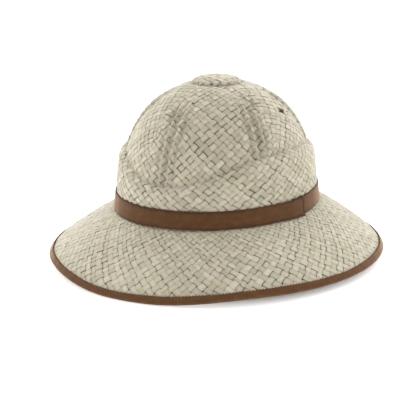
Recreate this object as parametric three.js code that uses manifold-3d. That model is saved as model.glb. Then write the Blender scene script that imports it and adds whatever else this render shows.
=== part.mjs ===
// Woven straw pith helmet: a straw body pressed in one piece, a ribbon round
// the crown and a tape folded over the edge of the brim.
// Millimetres. +Z is up, the front of the hat faces -Y, the wearer's left is +X.
// The origin lies on the surface the hat rests on, under the middle of the brim.
import * as THREE from 'three';
import { mergeVertices } from 'three/addons/utils/BufferGeometryUtils.js';
import Module from 'manifold-3d';

const wasm = await Module();
wasm.setup();

// Straw, ribbon and tape
const strawWall = 2;
const ribbonThickness = 1;
const tapeThickness = 1;
const seatGap = 0.3;

// Crown, measured outside the straw at the upper edge of the ribbon
const crownHalfWidth = 87.7;
const crownHalfLength = 101.6;
const crownSetBack = 2.4;
const crownFoot = 65;
const crownFlare = 1.5;
const crownLean = 3.6;

// Dome that stands above the step, heights from the ribbon's upper edge
const domeHeight = 96.4;
const domeHalfWidth = 83.2;
const domeRoundnessUp = 2.26;
const domeRoundnessOut = 2.23;
const domeRows = 9;
const firstRowRise = 0.6;

// Step round the crown: low and shallow in front, high and deep at the sides
const stepHeightFront = 17.6;
const stepHeightSide = 40;
const stepHeightBack = 33;
const stepTurnAngle = 71;
const stepFallAngle = 88;
const shoulderHeight = 8;

// Button on top
const buttonRadius = 21.8;
const buttonRise = 3.4;

// Double pleats that run from the step to the button
const pleatPairs = 6;
const pleatSpacing = 4.4;
const pleatHeight = 1.5;
const pleatFadeStart = 0.6;

// Small gap in the straw on the wearer's left
const ventAzimuth = 97;
const ventHeight = 70.5;
const ventHalfLength = 2.2;
const ventHalfWidth = 1.3;
const ventReach = 10;
const ventSides = 8;

// Brim, measured to the edge of the straw
const brimHalfWidth = 150.1;
const brimHalfLength = 157.1;
const brimEdgeLift = 2.6;
const brimSideRise = 5.6;
const brimRestAngle = 6;
const brimTurnAngle = 40;
const brimRootDrop = 1.6;
const brimRootRadius = 3;
const brimArch = 0.26;
const brimRollDrop = 2.1;
const brimRollWidth = 9;

// Ribbon round the crown, with its ends lapped on the wearer's left
const ribbonHeight = 16;
const ribbonJoinAngle = 84;
const ribbonLap = 12;
const ribbonClimb = 22;
const ribbonSteps = 78;

// Tape over the edge of the brim. Its outer corners are cut back to a share of
// its thickness, and a narrow flat under the edge is what the hat rests on.
const tapeWidth = 4.4;
const tapeCorner = 0.75;
const restWidth = 2.4;

const RAD = Math.PI / 180;
const TURN = 2 * Math.PI;
const { lerp, clamp, smoothstep } = THREE.MathUtils;
const UP = new THREE.Vector3(0, 0, 1);

// At a sharp bend an offset grows to at most 1 / leastBend of its distance
const leastBend = 0.75;

// Stations of the wall between the ribbon and the step. "up" is a share of the
// way from the ribbon to the shoulder, "over" a share of the shoulder's height,
// "inward" a share of the depth of the ledge.
const wallStations = [
  { up: 0, over: 0, inward: 0 },
  { up: 0.5, over: 0, inward: 0 },
  { up: 1, over: 0, inward: 0.02 },
  { up: 1, over: 0.5, inward: 0.16 },
  { up: 1, over: 0.84, inward: 0.46 },
  { up: 1, over: 1, inward: 0.96 },
];

// Stations of the bend between brim and wall, under the ribbon, as shares of
// the root's drop and radius
const footStations = [
  { drop: 0.72, out: 0.36 },
  { drop: 0.1, out: 0 },
];

// Stations of the button. "out" is a share of its radius, "rise" a share of its rise.
const buttonStations = [
  { out: 1, rise: 0 },
  { out: 0.965, rise: 0.52 },
  { out: 0.86, rise: 0.86 },
  { out: 0.5, rise: 0.97 },
];

// Section across a pair of pleats. "across" counts in pleat spacings from the
// middle of the pair, "rise" in pleat heights.
const pleatStations = [
  { across: -2.15, rise: 0 },
  { across: -1.5, rise: -0.25 },
  { across: -1, rise: 1 },
  { across: -0.5, rise: 0.05 },
  { across: 0, rise: -0.5 },
  { across: 0.5, rise: 0.05 },
  { across: 1, rise: 1 },
  { across: 1.5, rise: -0.25 },
  { across: 2.15, rise: 0 },
];
const columnsBetweenPleats = 3;

// Stations of the brim from its root outwards, as shares of its width
const brimShares = [0.06, 0.2, 0.38, 0.57, 0.75];

// Half a cosine wave, from 0 to 1 as its argument goes from 0 to 1
function wave(share) {
  return (1 - Math.cos(Math.PI * clamp(share, 0, 1))) / 2;
}

// Plan of the crown

// The crown is an oval at the ribbon and turns rounder towards the button.
function lengthOf(halfWidth) {
  const stretch = crownHalfLength / crownHalfWidth - 1;
  return halfWidth * (1 + stretch * halfWidth / crownHalfWidth);
}

function crownPoint(azimuth, halfWidth, height) {
  return new THREE.Vector3(
    halfWidth * Math.sin(azimuth),
    crownSetBack - lengthOf(halfWidth) * Math.cos(azimuth),
    crownFoot + height,
  );
}

function stepHeight(azimuth) {
  const fromFront = Math.abs(Math.atan2(Math.sin(azimuth), Math.cos(azimuth))) / RAD;
  const rising = wave(fromFront / stepTurnAngle);
  const falling = wave((fromFront - stepFallAngle) / (180 - stepFallAngle));
  return lerp(stepHeightFront, stepHeightSide, rising) - (stepHeightSide - stepHeightBack) * falling;
}

function domeWidth(height) {
  const share = clamp(height / domeHeight, 0, 1);
  return domeHalfWidth * (1 - share ** domeRoundnessUp) ** (1 / domeRoundnessOut);
}

function domeHeightAt(halfWidth) {
  const share = clamp(halfWidth / domeHalfWidth, 0, 1);
  return domeHeight * (1 - share ** domeRoundnessOut) ** (1 / domeRoundnessUp);
}

function wallWidth(height) {
  return crownHalfWidth - crownLean * Math.max(0, height / stepHeightSide) ** 1.5;
}

// Rows of the outer surface, from the edge of the brim to the button. Each row
// gives a point for an azimuth, how much of the pleats it carries and how evenly
// its columns are spread.

function brimRoot(azimuth) {
  const foot = -ribbonHeight - brimRootDrop;
  return crownPoint(azimuth, crownHalfWidth + crownFlare + brimRootRadius, foot);
}

// The edge rests at the front and back, and rises in a smooth wave to the sides
function brimEdgeHeight(azimuth) {
  const away = Math.atan2(Math.abs(Math.sin(azimuth)), Math.abs(Math.cos(azimuth)));
  return brimSideRise * wave((away / RAD - brimRestAngle) / brimTurnAngle);
}

function brimPoint(azimuth, share) {
  const root = brimRoot(azimuth);
  const edge = new THREE.Vector3(
    brimHalfWidth * Math.sin(azimuth),
    -brimHalfLength * Math.cos(azimuth),
    brimEdgeLift + brimEdgeHeight(azimuth),
  );
  const width = Math.hypot(edge.x - root.x, edge.y - root.y);
  const roll = Math.max(0, 1 - (1 - share) * width / brimRollWidth);
  const fall = share + brimArch * (share * share - share);
  const point = root.clone().lerp(edge, share);
  point.z = lerp(root.z, edge.z + brimRollDrop, fall) - brimRollDrop * roll * roll;
  return point;
}

// Share of the brim's width that lies a given way in from its edge
function brimShareFromEdge(azimuth, way) {
  const probe = 0.06;
  const reach = brimPoint(azimuth, 1).distanceTo(brimPoint(azimuth, 1 - probe));
  return 1 - probe * way / reach;
}

function brimRows() {
  const rows = [0, 0.5, 1].map((part) => ({
    point: (azimuth) => brimPoint(azimuth, brimShareFromEdge(azimuth, part * tapeWidth)),
    spread: 1,
  }));
  for (const share of [...brimShares].reverse()) {
    rows.push({ point: (azimuth) => brimPoint(azimuth, share), spread: share });
  }
  return rows;
}

function footRows() {
  return footStations.map(({ drop, out }) => ({
    point: (azimuth) => crownPoint(
      azimuth,
      crownHalfWidth + crownFlare + out * brimRootRadius,
      -ribbonHeight - drop * brimRootDrop,
    ),
    spread: 0,
  }));
}

function wallRows() {
  return wallStations.map(({ up, over, inward }) => ({
    point: (azimuth) => {
      const top = stepHeight(azimuth);
      const height = up * (top - shoulderHeight) + over * shoulderHeight;
      const wall = wallWidth(height);
      return crownPoint(azimuth, lerp(wall, domeWidth(top), inward), height);
    },
    spread: 0,
  }));
}

function domeRowsUp() {
  const topAngle = Math.asin(domeHeightAt(buttonRadius) / domeHeight);
  const rows = [];
  for (let i = 1; i < domeRows; i += 1) {
    const share = (i - 1 + firstRowRise) / (domeRows - 1 + firstRowRise);
    rows.push({
      point: (azimuth) => {
        const footAngle = Math.asin(stepHeight(azimuth) / domeHeight);
        const height = domeHeight * Math.sin(lerp(footAngle, topAngle, share));
        return crownPoint(azimuth, domeWidth(height), height);
      },
      pleats: 1 - smoothstep(share, pleatFadeStart, 1),
      spread: 0,
    });
  }
  return rows;
}

function buttonHeight(station) {
  const width = station.out * buttonRadius;
  return domeHeightAt(width) + station.rise * buttonRise;
}

function buttonRows() {
  return buttonStations.map((station) => ({
    point: (azimuth) => crownPoint(azimuth, station.out * buttonRadius, buttonHeight(station)),
    spread: 0,
  }));
}

// Columns: one for each station of each pair of pleats, and a few between pairs

function columns() {
  const list = [];
  for (let pair = 0; pair < pleatPairs; pair += 1) {
    const angle = TURN * pair / pleatPairs;
    const next = TURN * (pair + 1) / pleatPairs;
    for (const station of pleatStations) list.push({ angle, next, ...station, between: 0 });
    for (let k = 1; k <= columnsBetweenPleats; k += 1) {
      list.push({ angle, next, between: k / (columnsBetweenPleats + 1), rise: 0 });
    }
  }
  return list;
}

// Turns a way round the crown, in millimetres, into an angle at a pair of pleats
function angleAcross(row, angle, across) {
  const probe = 0.01;
  const from = row.point(angle - probe);
  const to = row.point(angle + probe);
  const perRadian = from.distanceTo(to) / (2 * probe);
  return angle + across * pleatSpacing / Math.max(perRadian, buttonRadius);
}

function columnAzimuth(row, column, index, count) {
  const last = pleatStations.at(-1).across;
  const onPleat = column.between === 0;
  const placed = onPleat
    ? angleAcross(row, column.angle, column.across)
    : lerp(angleAcross(row, column.angle, last), angleAcross(row, column.next, -last), column.between);
  const middle = (pleatStations.length - 1) / 2;
  const even = TURN * (index - middle) / count;
  return lerp(placed, even, row.spread);
}

// Offsets of the surface

function rowNormals(grid, top) {
  return grid.map((row, r) => row.map((point, c) => {
    const along = row[(c + 1) % row.length].clone().sub(row[(c + row.length - 1) % row.length]);
    const above = r + 1 < grid.length ? grid[r + 1][c] : top;
    const upper = along.clone().cross(above.clone().sub(point)).normalize();
    if (r === 0) return upper;
    const lower = along.clone().cross(point.clone().sub(grid[r - 1][c])).normalize();
    const normal = upper.clone().add(lower).normalize();
    return normal.divideScalar(Math.max(leastBend, normal.dot(upper)));
  }));
}

function offset(point, normal, distance) {
  return point.clone().addScaledVector(normal, distance);
}

function buildSurface() {
  const rows = [...brimRows(), ...footRows(), ...wallRows(), ...domeRowsUp(), ...buttonRows()];
  const list = columns();
  const grid = rows.map((row) => list.map((column, index) => (
    row.point(columnAzimuth(row, column, index, list.length))
  )));
  const top = crownPoint(0, 0, domeHeight + buttonRise);
  const normals = rowNormals(grid, top);
  const relief = rows.map((row) => list.map((column) => (
    pleatHeight * column.rise * (row.pleats ?? 0)
  )));
  const outer = grid.map((row, r) => row.map((p, c) => offset(p, normals[r][c], relief[r][c])));
  const inner = grid.map((row, r) => row.map((p, c) => (
    offset(p, normals[r][c], relief[r][c] - strawWall)
  )));
  return { outer, inner, normals, top };
}

// Closed meshes

function toGeometry(points, triangles) {
  const geometry = new THREE.BufferGeometry();
  const values = points.flatMap((p) => [p.x, p.y, p.z]);
  geometry.setAttribute('position', new THREE.Float32BufferAttribute(values, 3));
  geometry.setIndex(triangles);
  return geometry;
}

function quad(a, b, c, d) {
  return [a, b, c, a, c, d];
}

// A shell of two skins that meet at the edge of the brim
function shellGeometry(outer, inner, outerTop, innerTop) {
  const width = outer[0].length;
  const points = [...outer.flat(), ...inner.flat(), outerTop, innerTop];
  const innerStart = outer.length * width;
  const outerApex = points.length - 2;
  const innerApex = points.length - 1;
  const triangles = [];
  for (let c = 0; c < width; c += 1) {
    const d = (c + 1) % width;
    triangles.push(...quad(innerStart + c, innerStart + d, d, c));
    for (let r = 0; r + 1 < outer.length; r += 1) {
      const low = r * width;
      const high = low + width;
      triangles.push(...quad(low + c, low + d, high + d, high + c));
      triangles.push(...quad(
        innerStart + high + c,
        innerStart + high + d,
        innerStart + low + d,
        innerStart + low + c,
      ));
    }
    const last = (outer.length - 1) * width;
    triangles.push(last + c, last + d, outerApex);
    triangles.push(innerStart + last + d, innerStart + last + c, innerApex);
  }
  return toGeometry(points, triangles);
}

// A section carried round the hat. Each section runs the same way about its middle.
function sweptGeometry(sections, closed) {
  const size = sections[0].length;
  const triangles = [];
  const spans = closed ? sections.length : sections.length - 1;
  for (let s = 0; s < spans; s += 1) {
    const here = s * size;
    const there = ((s + 1) % sections.length) * size;
    for (let k = 0; k < size; k += 1) {
      const m = (k + 1) % size;
      triangles.push(...quad(here + k, there + k, there + m, here + m));
    }
  }
  if (!closed) {
    const last = (sections.length - 1) * size;
    for (let k = 1; k + 1 < size; k += 1) {
      triangles.push(0, k, k + 1);
      triangles.push(last, last + k + 1, last + k);
    }
  }
  return toGeometry(sections.flat(), triangles);
}

// Pieces

function toSolid(geometry) {
  const bare = geometry.clone();
  bare.deleteAttribute('normal');
  bare.deleteAttribute('uv');
  const merged = mergeVertices(bare);
  return new wasm.Manifold(new wasm.Mesh({
    numProp: 3,
    vertProperties: new Float32Array(merged.getAttribute('position').array),
    triVerts: new Uint32Array(merged.getIndex().array),
  }));
}

function fromSolid(solid) {
  const mesh = solid.getMesh();
  const geometry = new THREE.BufferGeometry();
  geometry.setAttribute('position', new THREE.Float32BufferAttribute(mesh.vertProperties, 3));
  geometry.setIndex([...mesh.triVerts]);
  return geometry;
}

function ventCutter() {
  const azimuth = ventAzimuth * RAD;
  const place = crownPoint(azimuth, domeWidth(ventHeight), ventHeight);
  const above = crownPoint(azimuth, domeWidth(ventHeight + 1), ventHeight + 1);
  const beside = crownPoint(azimuth + 0.01, domeWidth(ventHeight), ventHeight);
  const up = above.sub(place).normalize();
  const out = beside.sub(place).cross(up).normalize();
  const cutter = new THREE.CylinderGeometry(1, 1, ventReach, ventSides);
  const side = out.clone().cross(up).normalize();
  const frame = new THREE.Matrix4().makeBasis(
    side.multiplyScalar(ventHalfWidth),
    out,
    up.multiplyScalar(ventHalfLength),
  );
  return cutter.applyMatrix4(frame.setPosition(place));
}

function strawBody({ outer, inner, top }) {
  const innerTop = offset(top, UP, -strawWall);
  const shell = toSolid(shellGeometry(outer, inner, top, innerTop));
  return fromSolid(shell.subtract(toSolid(ventCutter())));
}

// The tape follows both skins of the brim and the edge between them
function brimBinding({ outer, inner, normals }) {
  const clear = seatGap;
  const proud = seatGap + tapeThickness;
  const count = outer[0].length;
  const sections = [];
  for (let c = 0; c < count; c += 1) {
    const over = (row, distance) => offset(outer[row][c], normals[row][c], distance);
    const under = (row, distance) => offset(inner[row][c], normals[row][c], -distance);
    const outward = outer[0][c].clone().sub(outer[1][c]).normalize();
    const level = new THREE.Vector3(outward.x, outward.y, 0).normalize();
    const corner = (point, side, distance) => offset(
      offset(point, normals[0][c], side * distance), outward, distance,
    );
    const middle = outer[0][c].clone().lerp(inner[0][c], 0.5).addScaledVector(outward, proud);
    middle.z = outer[0][c].z - brimEdgeLift;
    sections.push([
      over(2, clear),
      over(1, clear),
      corner(outer[0][c], 1, clear),
      corner(inner[0][c], -1, clear),
      under(1, clear),
      under(2, clear),
      under(2, proud),
      under(1, proud),
      corner(inner[0][c], -1, tapeCorner * proud),
      offset(middle, level, -restWidth / 2),
      offset(middle, level, restWidth / 2),
      corner(outer[0][c], 1, tapeCorner * proud),
      over(1, proud),
      over(2, proud),
    ]);
  }
  return sweptGeometry(sections, true);
}

// The ribbon lies on the wall, and its last stretch climbs over its first end
function hatBand() {
  const start = ribbonJoinAngle * RAD - ribbonLap / crownHalfLength;
  const end = ribbonJoinAngle * RAD + TURN;
  const lap = ribbonLap / crownHalfLength;
  const climb = ribbonClimb / crownHalfLength;
  const layer = ribbonThickness + seatGap;
  const sections = [];
  for (let i = 0; i <= ribbonSteps; i += 1) {
    const azimuth = lerp(start, end, i / ribbonSteps);
    const beforeLap = end - lap - azimuth;
    const rise = layer * (1 - smoothstep(beforeLap, 0, climb));
    const clear = seatGap + rise;
    const proud = clear + ribbonThickness;
    const lower = crownHalfWidth + crownFlare;
    const upper = crownHalfWidth;
    sections.push([
      crownPoint(azimuth, lower + proud, -ribbonHeight),
      crownPoint(azimuth, upper + proud, 0),
      crownPoint(azimuth, upper + clear, 0),
      crownPoint(azimuth, lower + clear, -ribbonHeight),
    ]);
  }
  return sweptGeometry(sections, false);
}

const straw = new THREE.MeshStandardMaterial({ color: 0xcfcdb4, roughness: 0.75, metalness: 0 });
const ribbon = new THREE.MeshStandardMaterial({ color: 0x7a4f33, roughness: 0.85, metalness: 0 });
const tape = new THREE.MeshStandardMaterial({ color: 0x74492d, roughness: 0.85, metalness: 0 });

function piece(name, geometry, material) {
  const mesh = new THREE.Mesh(geometry, material);
  mesh.name = name;
  return mesh;
}

const surface = buildSurface();
const helmet = new THREE.Group();
helmet.add(piece('straw_body', strawBody(surface), straw));
helmet.add(piece('hat_band', hatBand(), ribbon));
helmet.add(piece('brim_binding', brimBinding(surface), tape));

export default helmet;
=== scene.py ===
"""Dresses a woven straw pith helmet and sets it on a pale floor in soft studio light.

Metres, +Z up. The front of the hat faces -Y and the wearer's left is +X. An azimuth
is 0 at the front and turns towards the wearer's left.
"""
import math

import bpy
import numpy as np
from bpy.props import FloatProperty, FloatVectorProperty, IntProperty, PointerProperty
from mathutils import Matrix, Vector


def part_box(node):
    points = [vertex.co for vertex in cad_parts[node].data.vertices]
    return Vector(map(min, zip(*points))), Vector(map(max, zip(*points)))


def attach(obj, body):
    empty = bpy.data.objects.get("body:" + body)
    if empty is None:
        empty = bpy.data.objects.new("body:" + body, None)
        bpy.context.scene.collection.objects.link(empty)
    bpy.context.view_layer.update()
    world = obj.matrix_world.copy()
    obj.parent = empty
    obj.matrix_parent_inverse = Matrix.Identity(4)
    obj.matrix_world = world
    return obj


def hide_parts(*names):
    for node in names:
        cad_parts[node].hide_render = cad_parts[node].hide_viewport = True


bl_info = {
    "name": "Woven Straw Pith Helmet",
    "version": (1, 0, 0),
    "blender": (4, 5, 0),
    "location": "3D View > Sidebar > Straw Hat",
    "description": "Weaves the straw, wraps the band, binds the brim and sets the studio",
    "category": "Object",
}

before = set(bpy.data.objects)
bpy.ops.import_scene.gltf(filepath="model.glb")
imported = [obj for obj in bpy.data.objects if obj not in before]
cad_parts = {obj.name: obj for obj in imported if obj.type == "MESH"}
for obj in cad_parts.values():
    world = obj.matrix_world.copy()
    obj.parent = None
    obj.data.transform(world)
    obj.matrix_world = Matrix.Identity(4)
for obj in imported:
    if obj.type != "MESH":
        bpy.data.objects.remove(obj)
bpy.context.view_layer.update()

MM = 0.001
TURN = 2 * math.pi
BODY = "root"
# Part of the way down behind the band where the crown's mat ends and the brim's is tucked in
MEETING = 0.75
STRAW_LOW, STRAW_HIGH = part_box("straw_body")
BAND_LOW, BAND_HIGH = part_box("hat_band")


# Properties

def length(name, description, metres):
    """A size that Blender shows with its unit."""
    return FloatProperty(
        name=name, description=description, default=metres,
        subtype="DISTANCE", unit="LENGTH", precision=4,
    )


def angle(name, description, degrees):
    return FloatProperty(
        name=name, description=description, default=math.radians(degrees),
        subtype="ANGLE", unit="ROTATION",
    )


def share(name, description, default):
    return FloatProperty(
        name=name, description=description, default=default,
        subtype="FACTOR", min=0.0, max=1.0,
    )


def number(name, description, default):
    return FloatProperty(name=name, description=description, default=default)


def count(name, description, default):
    return IntProperty(name=name, description=description, default=default, min=1)


def colour(name, description, rgb):
    return FloatVectorProperty(
        name=name, description=description, default=rgb,
        subtype="COLOR", size=3, min=0.0, max=1.0,
    )


class STRAWHAT_PG_crown(bpy.types.PropertyGroup):
    foot: length("Foot", "Height of the band's upper edge", BAND_HIGH.z)
    half_width: length("Half width", "Half the crown's width at its foot", 87.7 * MM)
    half_length: length("Half length", "Half the crown's length at its foot", 101.6 * MM)
    set_back: length("Set back", "How far the crown stands behind the middle of the brim", 2.4 * MM)
    flare: length("Flare", "How much the wall widens under the band", 1.5 * MM)
    lean: length("Lean", "How much the wall narrows up to the step at the side", 3.6 * MM)
    dome_half_width: length("Dome half width", "Half width of the dome at its foot", 83.2 * MM)
    dome_up: number("Dome roundness up", "Exponent of the dome's height", 2.26)
    dome_out: number("Dome roundness out", "Exponent of the dome's width", 2.23)
    step_front: length("Step in front", "Height of the step over the band in front", 17.6 * MM)
    step_side: length("Step at the side", "Height of the step over the band at the side", 40 * MM)
    step_back: length("Step behind", "Height of the step over the band behind", 33 * MM)
    step_turn: angle("Step turn", "Azimuth where the step is highest", 71)
    step_fall: angle("Step fall", "Azimuth where the step begins to fall", 88)
    shoulder: length("Shoulder", "Height of the round shoulder under the step", 8 * MM)
    button_radius: length("Button radius", "Radius of the button on top", 21.8 * MM)
    button_rise: length("Button rise", "How far the button stands over the dome", 3.4 * MM)
    pleat_pairs: count("Pleat pairs", "Pairs of pleats round the dome", 6)
    pleat_spacing: length("Pleat spacing", "From the middle of a pair to each ridge", 4.4 * MM)
    pleat_height: length("Pleat height", "Height of a ridge", 1.8 * MM)
    pleat_fade: share("Pleat fade", "Share of the way up where the pleats begin to fade", 0.45)
    pinch: length("Pinch", "Depth of the pit beside a pair of pleats", 1.6 * MM)
    pinch_up: share("Pinch height", "Share of the way up where the pleats are pinched", 0.6)
    crease: length("Crease", "Depth of the crease between the dome and the step", 0.9 * MM)
    crease_width: length("Crease width", "Width of the crease between the dome and the step", 2.6 * MM)
    vent_azimuth: angle("Gap azimuth", "Azimuth of the small gap in the straw", 97)
    vent_height: length("Gap height", "Height of the small gap over the band", 70.5 * MM)
    vent_spread: length("Gap spread", "How far the strips are pushed aside at the gap", 1.1 * MM)
    vent_pinch: share("Gap pinch", "How much narrower than a woven cell the gap is", 0.2)


class STRAWHAT_PG_brim(bpy.types.PropertyGroup):
    half_width: length("Half width", "Half the width of the straw brim",
                       (STRAW_HIGH.x - STRAW_LOW.x) / 2)
    half_length: length("Half length", "Half the length of the straw brim",
                        (STRAW_HIGH.y - STRAW_LOW.y) / 2)
    edge_lift: length("Edge lift", "Height of the straw's edge where the hat rests", 2.6 * MM)
    side_rise: length("Side rise", "How much the edge rises to the sides", 5.6 * MM)
    rest_angle: angle("Rest angle", "Azimuth where the edge begins to rise", 6)
    rise_angle: angle("Rise angle", "Azimuth over which the edge rises", 40)
    root_drop: length("Root drop", "How far the brim's root lies under the band", 1.6 * MM)
    root_radius: length("Root radius", "Radius of the bend from the wall to the brim", 3 * MM)
    arch: share("Arch", "How much the brim arches between its root and its edge", 0.26)
    roll_drop: length("Roll drop", "How much the edge turns down", 2.1 * MM)
    roll_width: length("Roll width", "Width of the stretch that turns down", 9 * MM)


class STRAWHAT_PG_weave(bpy.types.PropertyGroup):
    wall: length("Wall", "Thickness of the straw body", 2 * MM)
    relief: length("Relief", "Height of a strip over the middle of the weave", 0.5 * MM)
    dome_side: length("Cell side on the dome", "Side of a woven cell on the dome", 4.95 * MM)
    wall_side: length("Cell side on the wall", "Side of a woven cell on the wall", 5.4 * MM)
    crown_cells: count("Cells round the crown", "Woven cells in a ring of the crown", 66)
    brim_cells: count("Cells round the brim", "Woven cells in a ring of the brim", 112)
    corner: angle("Corner", "Azimuth of the first of the four corners of the crown's mat", -16)
    settling: count("Settling", "Steps in which the net of cells evens out", 110)
    strip_variety: share("Strip variety", "How much the strips differ in width", 0.2)
    unevenness: length("Unevenness", "How far a crossing strays from its place", 0.2 * MM)
    seed: count("Seed", "Seed of the weave's unevenness", 11)


class STRAWHAT_PG_trim(bpy.types.PropertyGroup):
    band_height: length("Band height", "Height of the band", BAND_HIGH.z - BAND_LOW.z)
    band_thickness: length("Band thickness", "Thickness of the band", 1 * MM)
    join: angle("Join", "Azimuth where the band's upper end lies", 84)
    lap: length("Lap", "How far the band's ends overlap", 12 * MM)
    climb: length("Climb", "Length over which the band climbs over its first end", 22 * MM)
    seat: length("Seat", "Gap between the straw and what is laid on it", 0.3 * MM)
    tape_width: length("Tape width", "How far the tape reaches in from the edge", 4.4 * MM)
    tape_thickness: length("Tape thickness", "Thickness of the tape", 1 * MM)
    picot: length("Loop pitch", "Spacing of the small loops on the woven edges", 2.8 * MM)
    picot_height: length("Loop height", "How far the small loops stand out", 0.95 * MM)


class STRAWHAT_PG_colours(bpy.types.PropertyGroup):
    straw_light: colour("Straw, light", "The palest strips", (0.69, 0.637, 0.48))
    straw_dark: colour("Straw, dark", "The deepest strips", (0.44, 0.40, 0.285))
    straw_green: colour("Straw, green", "Strips that are still a little green", (0.60, 0.60, 0.43))
    straw_pink: colour("Straw, pink", "Strips with a pinkish grey cast", (0.68, 0.61, 0.53))
    # Painted shade deep in the folds, pleat grooves, pits and creases
    straw_fold_shade: colour("Straw, folds", "The straw deep in a fold", (0.30, 0.27, 0.17))
    # Painted shade in the gaps between the strips
    straw_gap_shade: colour("Straw, gap", "The shaded sides of the strips", (0.07, 0.05, 0.024))
    ribbon: colour("Ribbon", "The band", (0.105, 0.044, 0.0145))
    ribbon_worn: colour("Ribbon, worn", "The band where it is rubbed", (0.145, 0.068, 0.025))
    tape: colour("Tape", "The binding", (0.117, 0.050, 0.017))
    tape_worn: colour("Tape, worn", "The binding where it is rubbed", (0.17, 0.082, 0.032))
    floor: colour("Floor", "The studio floor", (0.90, 0.90, 0.90))


class STRAWHAT_PG_stage(bpy.types.PropertyGroup):
    azimuth: angle("Camera azimuth", "Azimuth of the camera", 29)
    elevation: angle("Camera elevation", "How far the camera looks down", 14.05)
    roll: angle("Camera roll", "How far the camera is turned about its view", 0.65)
    distance: length("Camera distance", "From the camera to the point it looks at", 1.2)
    aim_back: length("Aim back", "How far behind the middle the camera looks", 2.4 * MM)
    aim_height: length("Aim height", "Height of the point that the camera looks at", 65 * MM)
    lens: number("Lens", "Focal length in millimetres on a sensor 36 mm wide", 118.04)
    shift_right: number("Shift right", "Framing shift to the side, in frame widths", -0.0444)
    shift_up: number("Shift up", "Framing shift upwards, in frame widths", -0.0423)
    floor_size: length("Floor size", "Side of the floor", 14.0)
    sky: number("Sky", "Strength of the light from all round", 1.05)
    backlight: number("Backlight", "How much stronger the sky is behind than at the sides", 0.85)
    side_lamp: number("Side lamps", "Power of each side lamp in watts", 2.0)
    top_lamp: number("Top lamp", "Power of the lamp overhead in watts", 2.0)


# Form of the straw

def wave(part):
    """Half a cosine wave, from 0 to 1 as its argument goes from 0 to 1."""
    return (1 - np.cos(np.pi * np.clip(part, 0, 1))) / 2


def smoothstep(part, low=0.0, high=1.0):
    part = np.clip((part - low) / (high - low), 0, 1)
    return part * part * (3 - 2 * part)


def mix(low, high, part):
    return low + (high - low) * part


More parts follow.
